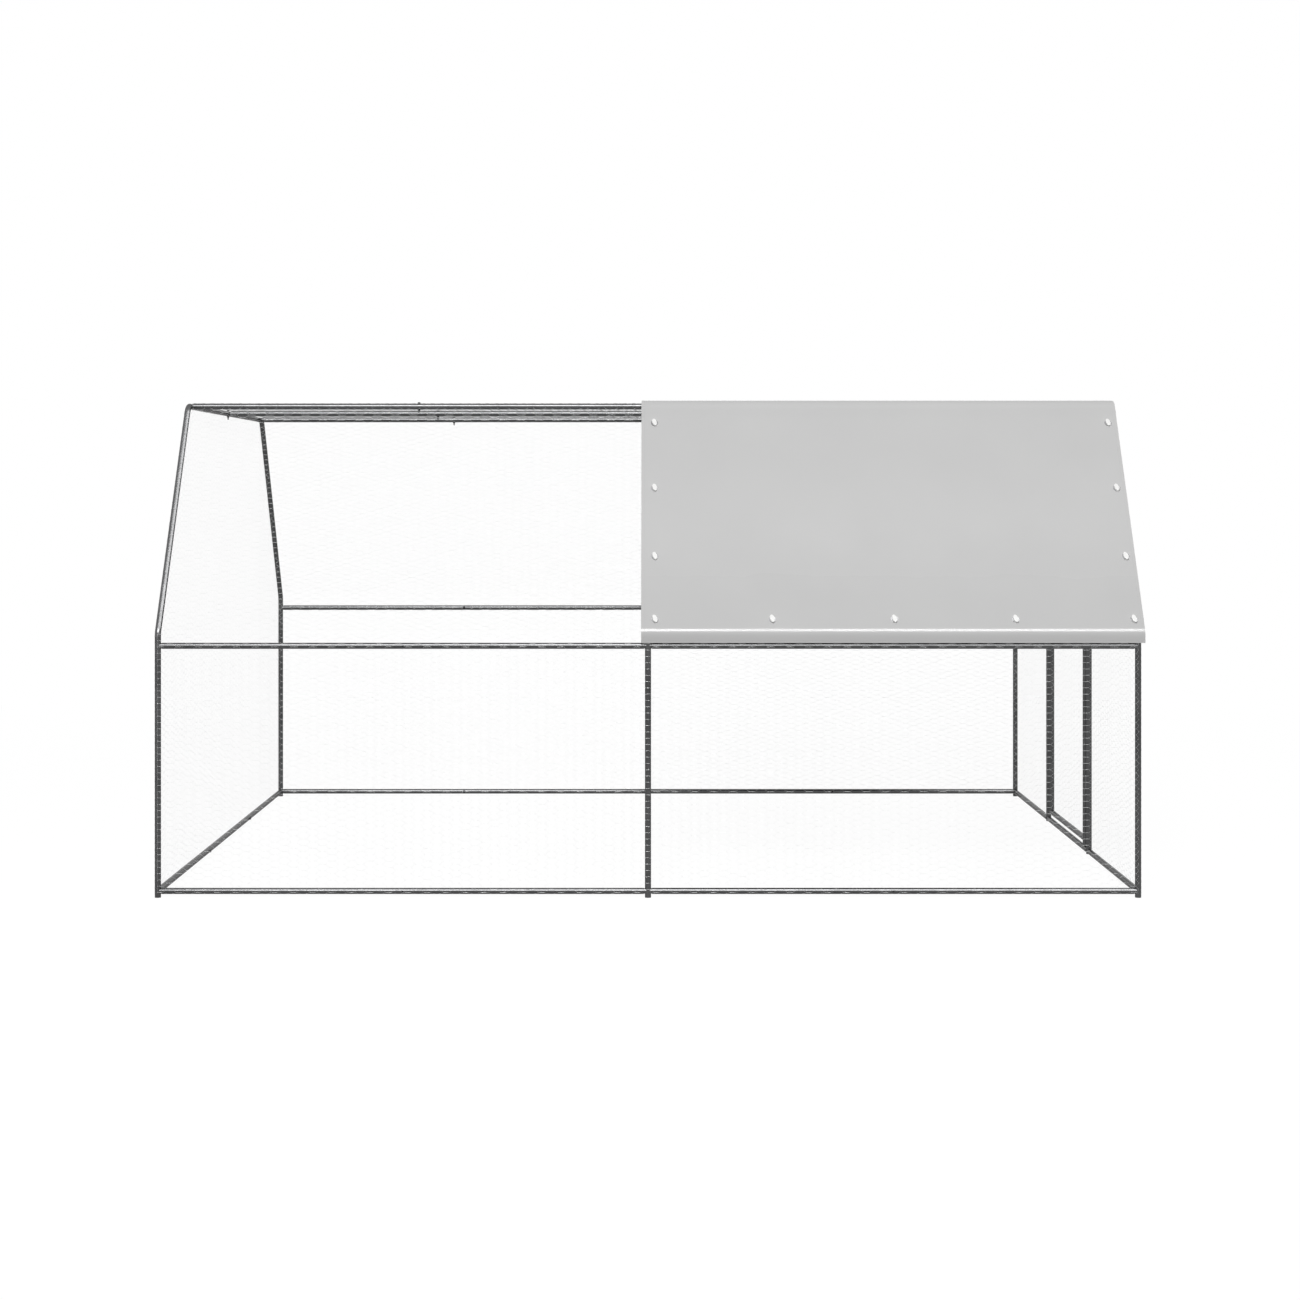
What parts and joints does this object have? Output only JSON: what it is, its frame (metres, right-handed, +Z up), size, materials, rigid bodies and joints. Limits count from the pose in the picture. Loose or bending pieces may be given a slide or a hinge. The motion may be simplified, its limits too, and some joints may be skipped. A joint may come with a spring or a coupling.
{
  "type": "chicken cage",
  "caption": "Walk-in poultry run of bolted steel tube and hexagonal wire net, with sloped roof sides, a hinged end door with a slide bolt, and a sheet cover over half the roof.",
  "frame": {"origin": "on the ground at the middle of the footprint", "axes": "+X along the cage towards the door end, +Y from front to back, +Z up"},
  "size_m": [4.0351, 3.0148, 2.0433],
  "materials": {
    "tube_steel": "dark galvanised steel tube, satin",
    "net_wire": "bright galvanised wire",
    "cover_sheet": "light grey coated polyethylene sheet, slight sheen",
    "eyelet_metal": "pressed metal eyelet, satin",
    "toggle_plastic": "white moulded plastic",
    "fastener_steel": "bolt and nut with a dark plating",
    "fitting_steel": "zinc plated hinge and latch"
  },
  "bodies": {
    "frame": {"cover_eyelets": "eyelet_metal", "cover_toggles": "toggle_plastic", "crossbar_left": "tube_steel", "crossbar_middle": "tube_steel", "crossbar_right": "tube_steel", "door_post_back": "tube_steel", "door_post_front": "tube_steel", "eave_rail_back_left": "tube_steel", "eave_rail_back_right": "tube_steel", "eave_rail_front_left": "tube_steel", "eave_rail_front_right": "tube_steel", "end_net_left_lower": "net_wire", "end_net_left_upper": "net_wire", "end_net_right_back": "net_wire", "end_net_right_front": "net_wire", "hinge_pins": "fitting_steel", "latch_keeper": "fitting_steel", "post_back_left": "tube_steel", "post_back_middle": "tube_steel", "post_back_right": "tube_steel", "post_front_left": "tube_steel", "post_front_middle": "tube_steel", "post_front_right": "tube_steel", "rafter_back_left": "tube_steel", "rafter_back_middle": "tube_steel", "rafter_back_right": "tube_steel", "rafter_front_left": "tube_steel", "rafter_front_middle": "tube_steel", "rafter_front_right": "tube_steel", "roof_cover": "cover_sheet", "sill_back_left": "tube_steel", "sill_back_right": "tube_steel", "sill_front_left": "tube_steel", "sill_front_right": "tube_steel", "sill_left_end": "tube_steel", "sill_right_end": "tube_steel", "slope_net_back": "net_wire", "slope_net_front": "net_wire", "splice_bolts": "fastener_steel", "splice_nuts": "fastener_steel", "top_net_back": "net_wire", "top_net_front": "net_wire", "top_rail_back_left": "tube_steel", "top_rail_back_right": "tube_steel", "top_rail_front_left": "tube_steel", "top_rail_front_right": "tube_steel", "top_rail_middle_left": "tube_steel", "top_rail_middle_right": "tube_steel", "wall_net_back": "net_wire", "wall_net_front": "net_wire"},
    "door": {"door_hinge_stile": "tube_steel", "door_latch_stile": "tube_steel", "door_bottom_rail": "tube_steel", "door_middle_rail": "tube_steel", "door_top_rail": "tube_steel", "door_net": "net_wire", "hinge_sockets": "fitting_steel", "latch_guide": "fitting_steel"},
    "latch": {"latch_bolt": "fitting_steel"}
  },
  "joints": [
    {"name": "door_swing", "type": "hinge", "parent": "frame", "child": "door", "pos_m": [1.9875, -0.45633, 1], "axis": [0, 0, -1], "range_deg": [0, 110]},
    {"name": "latch_slide", "type": "slide", "parent": "door", "child": "latch", "axis": [0, 1, 0], "range_m": [0, 0.079]}
  ]
}
